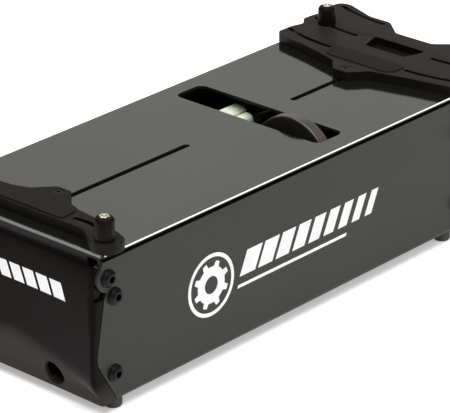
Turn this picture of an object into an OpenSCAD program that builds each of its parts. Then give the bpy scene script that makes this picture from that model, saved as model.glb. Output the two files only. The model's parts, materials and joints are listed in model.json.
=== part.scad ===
// Engine starter box for 1/8 scale model cars: a sheet metal box with a spring-mounted top
// plate, two sliding chassis brackets and a belt-driven rubber wheel that turns the flywheel.
// Lengths run along X, measured from the front edge of the top plate; Y is the width.

/* [Box] */
// Length of the top plate
plate_l = 326; // [322:1:332]
// Width of the box
body_w = 140; // [138:1:144]
// Height from the ground to the top of the plate
plate_top_z = 99; // [98:0.5:101]
// Thickness of the sheet metal
sheet_t = 2; // [1.5:0.25:2.25]
// Gap that the top plate moves through when it is pressed
plate_gap = 2.2; // [2.1:0.1:2.6]
// How far the end caps stand ahead of the plate
cap_proud = 9.3; // [8:0.1:11]
// Height of the rubber feet
foot_h = 6.4; // [5:0.2:7]
// Radius of the rubber feet
foot_r = 5.4; // [4:0.1:6]

/* [Wheel opening] */
// Middle of the opening, from the front edge of the plate
opening_mid = 210; // [208:0.5:212]
// Length of the opening along the box
opening_l = 24; // [22:0.5:26]
// Length of the opening across the box
opening_w = 115; // [110:1:120]

/* [Drive] */
// Radius of the rubber wheel
wheel_r = 30; // [28:0.5:31]
// Width of the rubber wheel
wheel_w = 9; // [8:0.25:9.5]
// Distance of the wheel's axle from the middle of the box
wheel_y = -28.5; // [-30:0.5:-26]
// How far the wheel stands above the plate at rest
wheel_rise = 6.7; // [5:0.1:7.5]
// Teeth of the pulley on the wheel's shaft
wheel_teeth = 20; // [18:2:20]
// Teeth of the pulley on the motor
motor_teeth = 10; // [10:1:12]
// Distance between the two pulley shafts
belt_centres = 57; // [57:0.25:60]
// Radius of the motor can
motor_r = 21; // [19:0.5:21]

/* [Brackets] */
// Thickness of the two sliding brackets
bracket_t = 6; // [5.5:0.25:7]
// Height of the two front posts above their bracket
front_post_h = 14.5; // [12:0.5:18]
// Height of the two rear posts above their bracket
rear_post_h = 13; // [10:0.5:15]
// Radius of a locating post
post_r = 5.7; // [5:0.1:6]

/* [Hidden] */
$fn = 48;

// Overall place: the whole box is centred on X, from the front cap to the rear bracket's tip
rear_bracket_tip = 380;
front_x = -(rear_bracket_tip - cap_proud) / 2;
half_w = body_w / 2;
inner_w = half_w - sheet_t;
plate_z = plate_top_z - sheet_t;
wall_top = plate_z - plate_gap;
floor_top = foot_h + sheet_t;
cut = 0.5;

// Side screws: distance from the front edge and height of each
button_r = 5.25;
button_h = 3.3;
m6_r = 3;
guide_pos = [3.8, 84.3];
cap_screw_pos = [[8.7, 71.8], [8, 24.6]];
ear_r = 8.4;

// End cap
cap_fit = 0.2;
cap_side = inner_w - cap_fit;
cap_wall = 2.5;
cap_depth = 22;
cap_floor_d = 9;
shelf_z = 80;
lip_z = 91;
cable_hole_r = 7.5;
cable_hole_y = 33;
cable_hole_z = 16;
boss_r = 6;
cap_dish = 4;
dish_r = pow(cap_side, 2) / (2 * cap_dish);
foot_d = 13.4;
foot_y = 63;

// Hangers and springs under the plate
hanger_t = 1.8;
hanger_end = 19.5;
hanger_out = inner_w - 0.6;
hanger_z = plate_z - hanger_t;
tab_low = 79.7;
tab_end = 11.5;
flange_half = 58;
flange_low = 87.5;
spring_d = 15;
spring_y = 45;
spring_r = 4.2;
spring_bore = 3.1;
seat_r = 2.6;

// Slots for the brackets
slot_w = 4;
front_slot = [15, 146.6];
rear_slot = [239.9, 312];

// Drive
bulk_t = 7;
front_bulk = 189;
rear_bulk = 227;
bulk_top = 90;
bulk_half = 60;
wheel_z = plate_top_z + wheel_rise - wheel_r;
wheel_d = 210;
hub_r = 21;
shaft_r = 4;
run_gap = 0.05;
bearing_r = 11;
bearing_w = 7;
tooth_pitch = 5;
pulley_d = [216.4, 224.6];
flange_t = 0.8;
motor_y = 26;
motor_z = wheel_z - sqrt(pow(belt_centres, 2) - pow(motor_y - wheel_y, 2));
motor_end = 283;
motor_shaft_r = 2.5;
motor_boss_r = 8.7;
motor_screw_r = 14.5;
wheel_pitch_r = wheel_teeth * tooth_pitch / (2 * PI);
motor_pitch_r = motor_teeth * tooth_pitch / (2 * PI);
belt_t = 1.7;
belt_gap = 0.35;
belt_tilt = atan2(motor_z - wheel_z, motor_y - wheel_y);

// Electrical parts
pack_size = [135, 46, 23.4];
pack_d = 36;
pack_gap = 4;
notch_z = 80;
plug_z = notch_z + 1;
plug_joint = [219, 216.5];
switch_y = 30;
switch_size = [10.3, 28, 16];
switch_z = 70;
lever_len = 25;
lead_r = 1.4;

// Brackets
bracket_z = plate_top_z;
bracket_top = bracket_z + bracket_t;
pad_h = 0.8;
post_slot_w = 3;
head_slot_w = 5.6;
head_slot_h = 3;
slot_ease = 0.04;
bolt_r = 1.2;
front_arc = [-15.5, 40.5];
front_arc_r = 33.2;
front_arc_span = [-13, 48.5];
front_post_angle = 46.5;
rear_arc_r = 110;
rear_arc_y = 30;
rear_rows = [313, 339.5, 367];
rear_arc_span = [158.5, 179.5];
rear_post_angle = 165;
front_clamp_d = 37;
rear_clamp_d = 292;
front_guide_d = 21;
rear_guide_d = 306;

// ---------- outline helpers ----------

function unit(v) = v / norm(v);

// Points of a round corner at p, between its neighbours a and b
function corner(a, p, b, r, steps) =
    let(u = unit(a - p), v = unit(b - p), half = acos(u * v) / 2, turn = 180 - 2 * half,
        c = p + unit(u + v) * r / sin(half), s = p + u * r / tan(half) - c,
        e = p + v * r / tan(half) - c)
    [for (k = [0:steps]) c + r * unit(s * sin(turn * (1 - k / steps)) + e * sin(turn * k / steps))];

function flat2(p) = [p[0], p[1]];

// Outline from [x, y, radius] corners; a corner without a radius stays sharp
function rounded(pts, steps = 5) =
    let(n = len(pts))
    [for (i = [0:n - 1])
        let(p = flat2(pts[i]))
        each is_undef(pts[i][2]) ? [p]
            : corner(flat2(pts[(i + n - 1) % n]), p, flat2(pts[(i + 1) % n]), pts[i][2], steps)];

// Closes a half outline (y >= 0) with its own mirror image
function both_sides(half) =
    concat(half, [for (i = [len(half) - 1:-1:0]) if (half[i][1] > 0)
        is_undef(half[i][2]) ? [half[i][0], -half[i][1]]
            : [half[i][0], -half[i][1], half[i][2]]]);

// Smooth curve through the route's own points
function spline(p, i, t) =
    let(n = len(p) - 1, a = p[max(i - 1, 0)], b = p[i], c = p[i + 1], d = p[min(i + 2, n)])
    0.5 * (2 * b + (c - a) * t + (2 * a - 5 * b + 4 * c - d) * t * t
        + (3 * b - a - 3 * c + d) * t * t * t);
function route(p, steps) = concat(
    [for (i = [0:len(p) - 2]) for (k = [0:steps - 1]) spline(p, i, k / steps)], [p[len(p) - 1]]);

// ---------- placing helpers ----------

module at(d, y, z) {
    translate([front_x + d, y, z]) children();
}

// Mirrors a piece at the front end to the rear end
module at_rear() {
    translate([2 * front_x + plate_l, 0, 0]) mirror([1, 0, 0]) children();
}

module both_ends() {
    children();
    at_rear() children();
}

module both_y() {
    children();
    mirror([0, 1, 0]) children();
}

// Outline in length and height, extruded across the box from y0 to y1
module across(y0, y1) {
    translate([front_x, y1, 0]) rotate([90, 0, 0]) linear_extrude(y1 - y0) children();
}

// Outline in width and height, extruded along the box from d0 to d1
module along(d0, d1) {
    translate([front_x + d0, 0, 0]) rotate([90, 0, 90]) linear_extrude(d1 - d0) children();
}

// Outline in plan, extruded upwards from z0 to z1
module upward(z0, z1) {
    translate([front_x, 0, z0]) linear_extrude(z1 - z0) children();
}

module rod_x(d0, d1, y, z, r) {
    at(d0, y, z) rotate([0, 90, 0]) cylinder(h = d1 - d0, r = r);
}

module rod_y(d, y0, y1, z, r) {
    at(d, y0, z) rotate([-90, 0, 0]) cylinder(h = y1 - y0, r = r);
}

module rod_z(d, y, z0, z1, r) {
    at(d, y, z0) cylinder(h = z1 - z0, r = r);
}

module block(d0, d1, y0, y1, z0, z1) {
    at(d0, y0, z0) cube([d1 - d0, y1 - y0, z1 - z0]);
}

// Round tube swept along a route, as one closed solid
module lead(points, steps = 2, sides = 8) {
    path = route(points, steps);
    n = len(path);
    side = [0.31, 0.93, 0.2];
    rings = [for (i = [0:n - 1])
        let(t = unit(path[min(i + 1, n - 1)] - path[max(i - 1, 0)]),
            u = unit(cross(t, side)), v = cross(t, u))
        for (k = [0:sides - 1])
            path[i] + lead_r * (cos(k * 360 / sides) * u + sin(k * 360 / sides) * v)];
    skin = [for (i = [0:n - 2]) for (k = [0:sides - 1])
        let(m = (k + 1) % sides)
        [i * sides + k, i * sides + m, (i + 1) * sides + m, (i + 1) * sides + k]];
    first = [[for (k = [sides - 1:-1:0]) k]];
    last = [[for (k = [0:sides - 1]) (n - 1) * sides + k]];
    at(0, 0, 0) polyhedron(concat(rings), concat(skin, first, last));
}

// ---------- box ----------

function wall_front() = [
    [0, wall_top], [-ear_r + guide_pos[0], guide_pos[1]], [-2, 80.5], [3, 77], [0.8, 72.5],
    [-5.5, 38], [-5.4, 34], [10.5, foot_h]];

function wall_outline() = concat(
    wall_front(), [for (i = [len(wall_front()) - 1:-1:0])
        [plate_l - wall_front()[i][0], wall_front()[i][1]]]);

module channel_section() {
    bend = 2.8;
    polygon(rounded([
        [-half_w, wall_top], [-half_w, foot_h, bend], [half_w, foot_h, bend],
        [half_w, wall_top], [inner_w, wall_top], [inner_w, floor_top, bend - sheet_t],
        [-inner_w, floor_top, bend - sheet_t], [-inner_w, wall_top]], 4));
}

module chassis_channel() color([0.28, 0.29, 0.27]) {
    difference() {
        union() {
            intersection() {
                along(-cap_proud, plate_l + cap_proud) channel_section();
                across(-half_w - cut, half_w + cut) polygon(wall_outline());
            }
            both_ends() both_y()
                rod_y(guide_pos[0], inner_w, half_w, guide_pos[1], ear_r);
        }
        both_ends() both_y() {
            rod_y(guide_pos[0], inner_w - cut, half_w + cut, guide_pos[1], m6_r + 0.1);
            for (p = cap_screw_pos) {
                rod_y(p[0], inner_w - cut, half_w + cut, p[1], m6_r + 0.1);
            }
            rod_z(foot_d, foot_y, foot_h - cut, floor_top + cut, 1.8);
        }
        for (d = [front_bulk, rear_bulk]) both_y() {
            rod_z(d + bulk_t / 2, 40, foot_h - cut, floor_top + cut, 2.1);
        }
        for (d = strap_d) both_y() {
            block(d - 1, d + 21, 52, 54.5, foot_h - cut, floor_top + cut);
        }
    }
}

module cap_outline() {
    polygon(rounded([
        [-1.2, lip_z], [-4, lip_z, 1.2], [-8.2, 68, 30], [-cap_proud, 45, 40],
        [-cap_proud, 25.5, 7], [-2.4, 14, 5], [-1.9, foot_h, 1], [cap_floor_d, foot_h],
        [cap_floor_d, floor_top], [cap_depth, floor_top], [cap_depth, shelf_z],
        [-1.2, shelf_z]], 4));
}

// The part of the cap ahead of the side wall's edge reaches out to the wall's outer face
module cap_cheeks() {
    intersection() {
        across(-half_w + 0.2, half_w - 0.2) cap_outline();
        across(-half_w, half_w) polygon([
            [-2 * cap_proud, foot_h - 1], [10.5, foot_h - 1], [-5.8, 34], [-5.9, 38],
            [0.4, 72.5], [-2 * cap_proud, 72.5]]);
    }
}

module cap_shell() {
    difference() {
        union() {
            across(-cap_side, cap_side) cap_outline();
            cap_cheeks();
        }
        difference() {
            across(-cap_side + cap_wall, cap_side - cap_wall) polygon(rounded([
                [-4.6, shelf_z - cap_wall, 3], [-cap_proud + cap_wall, 46, 30],
                [-cap_proud + cap_wall, 27, 6], [0.3, 15.5, 4], [0.6, floor_top + cap_wall],
                [cap_depth + cut, floor_top + cap_wall],
                [cap_depth + cut, shelf_z - cap_wall]], 4));
            at(-cap_proud + cap_dish + cap_wall - dish_r, 0, 0)
                cylinder(h = plate_z, r = dish_r, $fn = 180);
        }
        at(-cap_proud + cap_dish - dish_r, 0, -cut) cylinder(h = plate_z, r = dish_r, $fn = 180);
        both_y() {
            block(-1.2, cap_depth - 9, hanger_out - hanger_t - 5.6, half_w, 76.5, lip_z + cut);
            rod_x(-cap_proud - cut, cap_floor_d - cut, cable_hole_y, cable_hole_z, cable_hole_r);
            rod_z(foot_d, foot_y, foot_h, floor_top + cap_wall + cut, 1.6);
        }
    }
}

module end_cap() {
    difference() {
        union() {
            cap_shell();
            both_y() {
                for (p = cap_screw_pos) {
                    rod_y(p[0], inner_w - 12, cap_side - cap_wall + 0.1, p[1], boss_r);
                }
                rod_z(spring_d, spring_y, shelf_z - 0.1, shelf_z + 3.5, seat_r);
            }
        }
        both_y() {
            for (p = cap_screw_pos) {
                rod_y(p[0], inner_w - 14, half_w, p[1], m6_r + 0.05);
            }
        }
    }
}

module front_end_cap() color([0.12, 0.11, 0.10]) {
    end_cap();
}

module rear_end_cap() color([0.12, 0.11, 0.10]) {
    at_rear() end_cap();
}

// Button head screw along +Y, its head's outer face domed by a cone, with a hex socket
module side_screw(d, z, length) {
    difference() {
        union() {
            rod_y(d, half_w - length, half_w + 0.8, z, m6_r);
            rod_y(d, half_w, half_w + 1.1, z, button_r);
            at(d, half_w + 1.1, z) rotate([-90, 0, 0])
                cylinder(h = button_h - 1.1, r1 = button_r, r2 = button_r - 1.9);
        }
        at(d, half_w + 1, z) rotate([-90, 0, 0]) cylinder(h = button_h, r = 2.3, $fn = 6);
    }
}

module cap_screws() color([0.06, 0.06, 0.06]) {
    both_ends() both_y() for (p = cap_screw_pos) side_screw(p[0], p[1], 11);
}

module guide_screws() color([0.06, 0.06, 0.06]) {
    both_ends() both_y() side_screw(guide_pos[0], guide_pos[1], 10);
}

module guide_nuts() color([0.62, 0.62, 0.6]) {
    both_ends() both_y() difference() {
        at(guide_pos[0], hanger_out - hanger_t - 4.7, guide_pos[1]) rotate([-90, 30, 0])
            cylinder(h = 4, r = 5.4, $fn = 6);
        rod_y(guide_pos[0], half_w - 20, half_w, guide_pos[1], m6_r + 0.02);
    }
}

module rubber_feet() color([0.08, 0.08, 0.08]) {
    both_ends() both_y() difference() {
        union() {
            rod_z(foot_d, foot_y, 1, foot_h, foot_r);
            at(foot_d, foot_y, 0) cylinder(h = 1, r1 = foot_r - 0.8, r2 = foot_r);
        }
        rod_z(foot_d, foot_y, -cut, 3.2, 3.4);
        rod_z(foot_d, foot_y, -cut, foot_h + cut, 1.7);
    }
}

module foot_screws() color([0.62, 0.62, 0.6]) {
    both_ends() both_y() {
        rod_z(foot_d, foot_y, 3.1, floor_top + 5, 1.5);
        rod_z(foot_d, foot_y, 1.4, 3.2, 2.9);
    }
}

// ---------- bulkheads, motor and switch ----------

module bulkhead_plate(d) {
    along(d, d + bulk_t) polygon(rounded([
        [-bulk_half, floor_top], [-bulk_half, bulk_top, 4], [6, bulk_top, 3], [6, notch_z, 2],
        [bulk_half, notch_z, 4], [bulk_half, floor_top]], 4));
}

module bulkhead_tapped(d) {
    both_y() rod_z(d + bulk_t / 2, 40, floor_top - cut, floor_top + 12, 2.05);
}

module front_bulkhead() color([0.12, 0.12, 0.12]) {
    difference() {
        bulkhead_plate(front_bulk);
        rod_x(front_bulk - cut, front_bulk + bulk_t + cut, wheel_y, wheel_z, bearing_r);
        bulkhead_tapped(front_bulk);
        block(front_bulk - cut, front_bulk + bulk_t + cut, 20, 50, 20, 52);
        for (y = [switch_y + 3, switch_y + 25]) {
            rod_x(front_bulk - cut, front_bulk + bulk_t + cut, y, switch_z + 4, 1.55);
        }
    }
}

module rear_bulkhead() color([0.12, 0.12, 0.12]) {
    difference() {
        bulkhead_plate(rear_bulk);
        rod_x(rear_bulk - cut, rear_bulk + bulk_t + cut, wheel_y, wheel_z, bearing_r);
        rod_x(rear_bulk - cut, rear_bulk + bulk_t + cut, motor_y, motor_z, motor_boss_r + 0.1);
        bulkhead_tapped(rear_bulk);
        for (s = [-1, 1]) motor_screw_place(s)
            rod_x(rear_bulk - cut, rear_bulk + bulk_t + cut, 0, 0, 2.1);
    }
}

// The two motor screws sit at right angles to the run of the belt
module motor_screw_place(s) {
    translate([0, motor_y - s * motor_screw_r * sin(belt_tilt),
        motor_z + s * motor_screw_r * cos(belt_tilt)]) children();
}

module bulkhead_screws() color([0.1, 0.1, 0.1]) {
    for (d = [front_bulk, rear_bulk]) both_y() {
        rod_z(d + bulk_t / 2, 40, foot_h - 0.1, floor_top + 9, 2);
        rod_z(d + bulk_t / 2, 40, foot_h - 2.2, foot_h, 3.8);
    }
}

module wheel_bearings() color([0.75, 0.76, 0.78]) {
    for (d = [front_bulk, rear_bulk]) difference() {
        rod_x(d, d + bearing_w, wheel_y, wheel_z, bearing_r);
        rod_x(d - cut, d + bearing_w + cut, wheel_y, wheel_z, shaft_r + run_gap);
        for (e = [d - 1, d + bearing_w - 0.5]) difference() {
            rod_x(e, e + 1.5, wheel_y, wheel_z, 9);
            rod_x(e - cut, e + 2, wheel_y, wheel_z, 6);
        }
    }
}

module motor_can() color([0.35, 0.36, 0.38]) {
    face = rear_bulk + bulk_t;
    difference() {
        union() {
            rod_x(face, motor_end, motor_y, motor_z, motor_r);
            rod_x(face - 4.5, face + 1, motor_y, motor_z, motor_boss_r);
        }
        rod_x(face - 5, face + 12, motor_y, motor_z, motor_shaft_r + run_gap);
        for (a = [0:60:300]) rotate_motor(a)
            block(motor_end - 14, motor_end - 6, motor_y - 3, motor_y + 3,
                motor_z + motor_r - 3, motor_z + motor_r + 1);
        for (s = [-1, 1]) motor_screw_place(s) rod_x(face - cut, face + 5, 0, 0, 2.05);
    }
}

module rotate_motor(a) {
    translate([0, motor_y, motor_z]) rotate([a, 0, 0]) translate([0, -motor_y, -motor_z])
        children();
}

module motor_end_bell() color([0.1, 0.1, 0.1]) {
    difference() {
        union() {
            rod_x(motor_end, motor_end + 6, motor_y, motor_z, motor_r - 1);
            rod_x(motor_end + 6, motor_end + 9, motor_y, motor_z, 7);
        }
        for (s = [-1, 1]) {
            block(motor_end + 1, motor_end + 7, motor_y + s * 13 - 2.6, motor_y + s * 13 + 2.6,
                motor_z - 0.5, motor_z + 0.5);
        }
    }
}

module motor_terminals() color([0.75, 0.6, 0.3]) {
    for (s = [-1, 1]) {
        block(motor_end + 1, motor_end + 13, motor_y + s * 13 - 2.5, motor_y + s * 13 + 2.5,
            motor_z - 0.4, motor_z + 0.4);
    }
}

module motor_screws() color([0.1, 0.1, 0.1]) {
    for (s = [-1, 1]) motor_screw_place(s) difference() {
        union() {
            rod_x(rear_bulk - 0.5, rear_bulk + bulk_t + 4, 0, 0, 2);
            rod_x(rear_bulk - 2.1, rear_bulk, 0, 0, 3.4);
        }
        at(rear_bulk - 3, 0, 0) rotate([0, 90, 0]) cylinder(h = 2, r = 1.4, $fn = 6);
    }
}

// Loop around both pulleys, leaving grow between it and the pulleys' pitch lines
module belt_loop(grow) {
    rw = wheel_pitch_r + grow;
    rm = motor_pitch_r + grow;
    lean = asin((rw - rm) / belt_centres);
    steps = 24;
    big = [for (k = [0:steps]) let(a = 90 - lean + k * (180 + 2 * lean) / steps)
        rw * [cos(a), sin(a)]];
    small = [for (k = [0:steps]) let(a = -90 + lean + k * (180 - 2 * lean) / steps)
        [belt_centres, 0] + rm * [cos(a), sin(a)]];
    translate([wheel_y, wheel_z]) rotate(belt_tilt) polygon(concat(big, small));
}

module drive_belt() color([0.07, 0.07, 0.07]) {
    along(pulley_d[0] + 0.3, pulley_d[1] - 0.3) difference() {
        belt_loop(belt_gap + belt_t);
        belt_loop(belt_gap);
    }
}

module switch_body() color([0.09, 0.09, 0.1]) {
    difference() {
        union() {
            block(front_bulk - switch_size[0], front_bulk, switch_y, switch_y + switch_size[1],
                switch_z, switch_z + switch_size[2]);
            for (y = [4, 13, 22]) {
                block(front_bulk - 7, front_bulk - 3.4, switch_y + y, switch_y + y + 3,
                    switch_z - 6, switch_z + 0.1);
            }
        }
        for (y = [3, 25]) {
            rod_x(front_bulk - 12, front_bulk + cut, switch_y + y, switch_z + 4, 1.6);
        }
        block(front_bulk - 7.2, front_bulk - 3.2, switch_y + 7.2, switch_y + 11.2,
            switch_z + 12, switch_z + 18);
    }
}

module switch_screws() color([0.6, 0.6, 0.58]) {
    for (y = [3, 25]) {
        rod_x(front_bulk - switch_size[0] - 0.1, front_bulk + 6, switch_y + y, switch_z + 4, 1.5);
        rod_x(front_bulk - switch_size[0] - 2, front_bulk - switch_size[0], switch_y + y,
            switch_z + 4, 2.8);
    }
}

module switch_button() color([0.7, 0.15, 0.12]) {
    block(front_bulk - 6.9, front_bulk - 3.5, switch_y + 7.5, switch_y + 10.9,
        switch_z + 13.2, switch_z + 17.6);
}

module switch_lever() color([0.75, 0.75, 0.72]) {
    pivot = [switch_y + 1.5, switch_z + switch_size[2] + 1.1];
    translate([0, pivot[0], pivot[1]]) rotate([6, 0, 0]) {
        block(front_bulk - 7.7, front_bulk - 2.7, 0, lever_len, 0, 0.6);
        rod_x(front_bulk - 7.7, front_bulk - 2.7, 0, 0.3, 0.9);
    }
}

// ---------- batteries and wiring ----------

strap_d = [56, 128];

module battery_pack(y0) {
    r = pack_size[2] / 2 - 0.4;
    along(pack_d, pack_d + pack_size[0]) polygon(rounded([
        [y0, floor_top + 0.2, r], [y0, floor_top + 0.2 + pack_size[2], r],
        [y0 + pack_size[1], floor_top + 0.2 + pack_size[2], r],
        [y0 + pack_size[1], floor_top + 0.2, r]], 8));
}

module left_battery_pack() color([0.12, 0.3, 0.55]) {
    battery_pack(pack_gap);
}

module right_battery_pack() color([0.12, 0.3, 0.55]) {
    battery_pack(-pack_gap - pack_size[1]);
}

module battery_straps() color([0.1, 0.1, 0.11]) {
    low = floor_top + 0.05;
    high = floor_top + pack_size[2] + 0.6;
    for (d = strap_d) along(d, d + 20) difference() {
        polygon(rounded([[-53.8, low], [-53.8, high + 1.3, 8], [53.8, high + 1.3, 8],
            [53.8, low]], 4));
        polygon(rounded([[-52.5, low - 1], [-52.5, high, 7], [52.5, high, 7],
            [52.5, low - 1]], 4));
    }
}

// Two plugs side by side: one with square corners, one with a round top
module plug_pair(d0, square_end, round_end) {
    along(d0[0], square_end) polygon(rounded([[28.5, notch_z], [28.5, plug_z + 6.5], [32, plug_z + 8.5],
        [37.5, plug_z + 8.5], [39, plug_z + 6.5], [39, notch_z]]));
    along(d0[1], round_end) polygon(rounded([[19, notch_z], [19, plug_z + 7.5, 4], [27.8, plug_z + 7.5, 4],
        [27.8, notch_z]], 5));
}

module pack_plugs() color([0.86, 0.88, 0.8]) {
    plug_pair([207, 207], plug_joint[0], plug_joint[1]);
}

module harness_sockets() color([0.88, 0.87, 0.76]) {
    plug_pair(plug_joint, 231, 226.5);
}

// Leads as routes from the front edge of the plate; the plugs begin at 207 and end at 231
module red_leads() color([0.6, 0.05, 0.04]) {
    lead([[35.8, 20, 24], [29, 20, 27], [42, 17, 46], [100, 7, 78], [144, 1.5, 92],
        [192, 22, 86], [206.8, 31.5, 84.5]]);
    lead([[35.8, -20, 24], [29, -20, 27], [42, -18, 46], [100, -8, 72], [146, 1, 84],
        [192, 17, 83.5], [206.8, 25, 84.5]]);
    lead([[231.4, 36, 84.5], [264, 39, 87], [284, 43, 83], [298, 43, 73], [302.5, 41, 63.5],
        [300, 39, 59.3], [296.3, 39, 59]]);
}

module black_leads() color([0.05, 0.05, 0.05]) {
    lead([[35.8, 32, 24], [29, 32, 27], [42, 32, 46], [100, 19, 74], [150, 20, 80],
        [192, 27, 83], [206.8, 36.5, 84.5]]);
    lead([[35.8, -34, 24], [29, -34, 27], [42, -32, 46], [100, -18, 68], [146, -6, 78],
        [192, 12, 83], [206.8, 21, 84.5]]);
    lead([[227.1, 22, 84.5], [264, 10, 86], [284, 7, 82], [298, 9, 72], [302.5, 11.5, 63],
        [300, 13, 59.3], [296.3, 13, 59]]);
}

// ---------- sprung top ----------

module plate_springs() color([0.12, 0.12, 0.12]) {
    both_ends() both_y() difference() {
        rod_z(spring_d, spring_y, shelf_z, hanger_z, spring_r);
        rod_z(spring_d, spring_y, shelf_z - cut, hanger_z + cut, spring_bore);
    }
}

module slot(d0, d1, w) {
    translate([front_x + d0 + w / 2, -w / 2, plate_z - cut])
        cube([d1 - d0 - w, w, sheet_t + 2 * cut]);
    for (d = [d0 + w / 2, d1 - w / 2]) rod_z(d, 0, plate_z - cut, plate_top_z + cut, w / 2);
}

module top_plate() color([0.41, 0.41, 0.38]) {
    o0 = opening_mid - opening_l / 2;
    o1 = opening_mid + opening_l / 2;
    difference() {
        upward(plate_z, plate_top_z) polygon(rounded([
            [0, -half_w, 1.5], [0, half_w, 1.5], [plate_l, half_w, 1.5],
            [plate_l, -half_w, 1.5]], 3));
        upward(plate_z - cut, plate_top_z + cut) translate([0, 1]) polygon(rounded([
            [o0, -opening_w / 2, 5], [o0, opening_w / 2, 5], [o1, opening_w / 2, 5],
            [o1, -opening_w / 2, 5]], 6));
        slot(front_slot[0], front_slot[1], slot_w);
        slot(rear_slot[0], rear_slot[1], slot_w);
    }
}

// Folded strap under the plate; its end tabs are slotted for the guide screws
module hanger() {
    difference() {
        along(0.3, hanger_end) polygon([
            [-hanger_out, tab_low], [-hanger_out, plate_z], [hanger_out, plate_z],
            [hanger_out, tab_low], [hanger_out - hanger_t, tab_low],
            [hanger_out - hanger_t, hanger_z], [-hanger_out + hanger_t, hanger_z],
            [-hanger_out + hanger_t, tab_low]]);
        both_y() for (z = [guide_pos[1], guide_pos[1] + plate_gap]) {
            rod_y(guide_pos[0], half_w - 8, half_w, z, m6_r + 0.3);
        }
        both_y() block(guide_pos[0] - m6_r - 0.3, guide_pos[0] + m6_r + 0.3, half_w - 8, half_w,
            guide_pos[1], guide_pos[1] + plate_gap);
        both_y() block(tab_end, hanger_end + cut, half_w - 8, half_w, tab_low - cut, hanger_z);
    }
    block(0.3, 0.3 + hanger_t, -flange_half, flange_half, flange_low, hanger_z + 0.1);
}

module front_hanger() color([0.1, 0.1, 0.1]) {
    hanger();
}

module rear_hanger() color([0.1, 0.1, 0.1]) {
    at_rear() hanger();
}

module switch_pusher() color([0.15, 0.15, 0.15]) {
    block(front_bulk - 9, front_bulk - 1.4, switch_y + 21, switch_y + 27, 90.5, plate_z);
}

// ---------- brackets and posts ----------

function arc_point(c, r, a) = c + r * [cos(a), sin(a)];

// Curved slot of width w about centre c, from angle a0 to a1
module arc_slot(c, r, a0, a1, w, z0, z1) {
    intersection() {
        difference() {
            rod_z(c[0], c[1], z0, z1, r + w / 2);
            rod_z(c[0], c[1], z0 - cut, z1 + cut, r - w / 2);
        }
        upward(z0 - cut, z1 + cut)
            polygon([c, arc_point(c, 1.5 * r, a0), arc_point(c, 1.5 * r, a1)]);
    }
    for (a = [a0, a1]) {
        rod_z(arc_point(c, r, a)[0], arc_point(c, r, a)[1], z0, z1, w / 2 + slot_ease);
    }
}

// Stepped slot: narrow for the bolt above, wide for its head below
module post_slot(c, r, span) {
    arc_slot(c, r, span[0], span[1], post_slot_w, bracket_z - cut, bracket_top + cut);
    arc_slot(c, r, span[0], span[1], head_slot_w, bracket_z - 2 * cut, bracket_z + head_slot_h);
}

function front_half() = [
    [42, 0], [42, 5.5, 3], [30, 16, 5], [26.5, 27, 4], [25, 40, 10], [21, 58, 12],
    [15.5, 74.3, 7.5], [-0.3, 74.3, 8.3], [-0.8, 61.5, 9], [9.5, 46, 14], [9, 0]];

function rear_half() = [
    [286, 0], [286, 5.5, 3], [297, 15, 5], [300, 27, 5], [304, 42, 20], [310, 73, 6],
    [326, 72.5, 6], [333.5, 70, 4], [341, 76, 6], [353, 75, 6], [361, 70.5, 5],
    [368, 77.5, 6], [380, 77, 6], [380, 68, 6], [372, 46, 14], [372, 29, 7],
    [359.5, 14.5, 6], [359.5, 0]];

module clamp_hole(d) {
    rod_z(d, 0, bracket_z - cut, bracket_top + cut, 2.1);
    rod_z(d, 0, bracket_top - 2.6, bracket_top + cut, 3.1);
}

module front_bracket() color([0.16, 0.15, 0.14]) {
    difference() {
        union() {
            upward(bracket_z, bracket_top) polygon(rounded(both_sides(front_half()), 5));
            rod_z(front_guide_d, 0, plate_z + 0.2, bracket_z + 0.1, 1.9);
        }
        clamp_hole(front_clamp_d);
        both_y() post_slot(front_arc, front_arc_r, front_arc_span);
        upward(bracket_top - 1, bracket_top + cut) pad_outline(10.9, 26.6, 28);
    }
}

module rear_bracket() color([0.16, 0.15, 0.14]) {
    difference() {
        union() {
            upward(bracket_z, bracket_top) polygon(rounded(both_sides(rear_half()), 5));
            rod_z(rear_guide_d, 0, plate_z + 0.2, bracket_z + 0.1, 1.9);
        }
        clamp_hole(rear_clamp_d);
        for (row = rear_rows) both_y()
            post_slot([row + rear_arc_r, rear_arc_y], rear_arc_r, rear_arc_span);
        upward(bracket_top - 1, bracket_top + cut) rear_pad_outline(301.5, 317, 28);
        upward(bracket_z + 1.2, bracket_top + cut) polygon(rounded([
            [330, -15.5, 2], [346, -20.5, 2], [346, 20.5, 2], [330, 15.5, 2]], 4));
    }
}

module pad_outline(d0, d1, y) {
    polygon(rounded([[d0, -y, 3], [d0, y, 3], [d1, y - 1, 7], [d1, -y + 1, 7]], 5));
}

// The rear pad is rounded on the side of its lug, like the front one
module rear_pad_outline(d0, d1, y) {
    translate([d0 + d1, 0]) mirror([1, 0]) pad_outline(d0, d1, y);
}

module front_bracket_pad() color([0.2, 0.19, 0.18]) {
    upward(bracket_top - 1, bracket_top + pad_h) pad_outline(11, 26.5, 27.9);
}

module rear_bracket_pad() color([0.2, 0.19, 0.18]) {
    upward(bracket_top - 1, bracket_top + pad_h) rear_pad_outline(301.6, 316.9, 27.9);
}

module clamp_screw(d) {
    difference() {
        union() {
            rod_z(d, 0, plate_z - 5.5, bracket_top - 0.2, 1.95);
            rod_z(d, 0, bracket_top - 2.5, bracket_top - 0.2, 3);
        }
        at(d, 0, bracket_top - 2) cylinder(h = 3, r = 1.2, $fn = 6);
    }
}

module clamp_nut(d) {
    difference() {
        block(d - 7, d + 7, -6, 6, plate_z - 4.2, plate_z - 0.2);
        rod_z(d, 0, plate_z - 6, plate_z + cut, 2);
    }
}

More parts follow.
